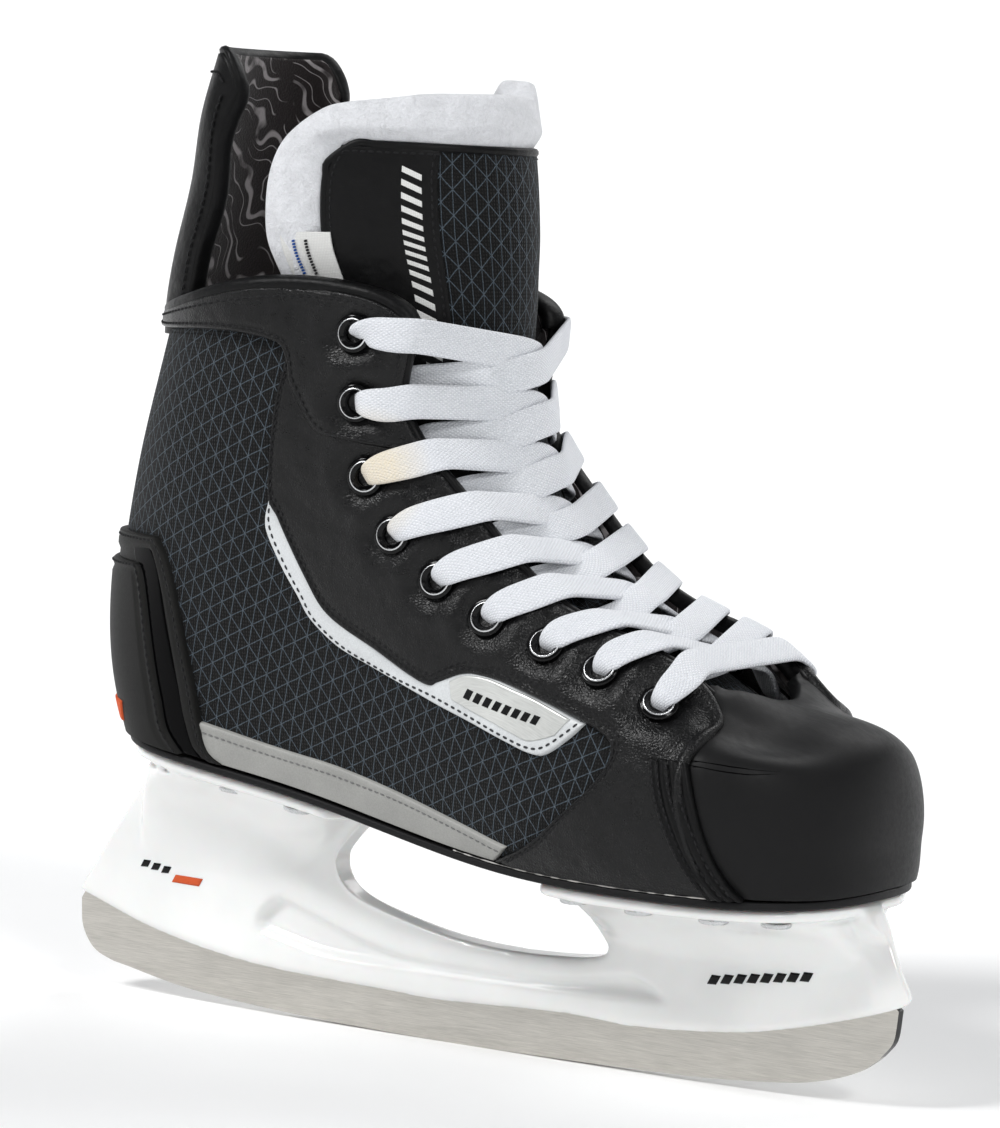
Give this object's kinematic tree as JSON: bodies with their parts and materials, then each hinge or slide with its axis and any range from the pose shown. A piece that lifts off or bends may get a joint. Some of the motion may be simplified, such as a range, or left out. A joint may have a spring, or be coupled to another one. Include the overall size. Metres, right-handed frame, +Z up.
{
  "type": "ice hockey skate",
  "caption": "Laced black ice hockey skate for the right foot: stiff boot, felt tongue, tendon guard, white blade holder and steel runner.",
  "frame": {"origin": "on the ice under the middle of the steel runner", "axes": "+X to the toe, +Y to the inner (medial) side, +Z up"},
  "size_m": [0.2892, 0.1035, 0.288],
  "materials": {
    "steel": "brushed, ground bottom",
    "holder": "glossy moulded white",
    "fastener": "plated",
    "sole": "moulded black",
    "board": "fibre board",
    "foam": "cloth covered foam",
    "cap": "moulded satin black",
    "lining": "brushed dark cloth",
    "mesh": "black cloth printed with thin grey-blue lines",
    "leather": "pebbled black synthetic leather",
    "gloss_trim": "smooth glossy black",
    "tag": "woven orange",
    "silver": "satin silver synthetic leather",
    "grey_trim": "satin grey synthetic leather",
    "felt": "white felt",
    "facing": "smooth black synthetic leather with a cloth middle",
    "label": "white woven",
    "lace": "white braided flat lace",
    "eyelet": "black enamelled"
  },
  "bodies": {
    "boot": {"runner": "steel", "blade_holder": "holder", "blade_bolt_rear": "fastener", "blade_bolt_front": "fastener", "outsole": "sole", "insole_board": "board", "footbed": "foam", "toe_cap": "cap", "lining": "lining", "quarter_outer": "mesh", "quarter_inner": "mesh", "vamp_outer": "leather", "vamp_inner": "leather", "heel_guard": "leather", "heel_strap": "gloss_trim", "heel_tag": "tag", "side_stripe_outer": "silver", "side_stripe_inner": "silver", "foxing_strip_outer": "grey_trim", "foxing_strip_inner": "grey_trim", "tongue_felt_lower": "felt", "tongue_facing_lower": "facing", "lace": "lace", "rivet_heel_outer_1": "fastener", "rivet_heel_outer_2": "fastener", "rivet_heel_outer_3": "fastener", "rivet_heel_inner_1": "fastener", "rivet_heel_inner_2": "fastener", "rivet_heel_inner_3": "fastener", "rivet_toe_outer_1": "fastener", "rivet_toe_outer_2": "fastener", "rivet_toe_outer_3": "fastener", "rivet_toe_outer_4": "fastener", "rivet_toe_inner_1": "fastener", "rivet_toe_inner_2": "fastener", "rivet_toe_inner_3": "fastener", "rivet_toe_inner_4": "fastener", "eyelet_outer_1": "eyelet", "eyelet_outer_2": "eyelet", "eyelet_outer_3": "eyelet", "eyelet_outer_4": "eyelet", "eyelet_outer_5": "eyelet", "eyelet_outer_6": "eyelet", "eyelet_outer_7": "eyelet", "eyelet_outer_8": "eyelet", "eyelet_outer_9": "eyelet", "eyelet_inner_1": "eyelet", "eyelet_inner_2": "eyelet", "eyelet_inner_3": "eyelet", "eyelet_inner_4": "eyelet", "eyelet_inner_5": "eyelet", "eyelet_inner_6": "eyelet", "eyelet_inner_7": "eyelet", "eyelet_inner_8": "eyelet", "eyelet_inner_9": "eyelet"},
    "tendon": {"tendon_guard": "leather", "tendon_guard_lining": "lining"},
    "tongue_top": {"tongue_felt_upper": "felt", "tongue_facing_upper": "facing", "tongue_label": "label"}
  },
  "joints": [
    {"name": "tendon_guard_flex", "type": "hinge", "parent": "boot", "child": "tendon", "pos_m": [-0.108, 0, 0.2145], "axis": [0, -1, 0], "range_deg": [0, 20], "stiffness_Nm_per_rad": 2},
    {"name": "tongue_flop", "type": "hinge", "parent": "boot", "child": "tongue_top", "pos_m": [0.013, 0, 0.221], "axis": [0, 1, 0], "range_deg": [0, 40], "stiffness_Nm_per_rad": 0.3}
  ]
}
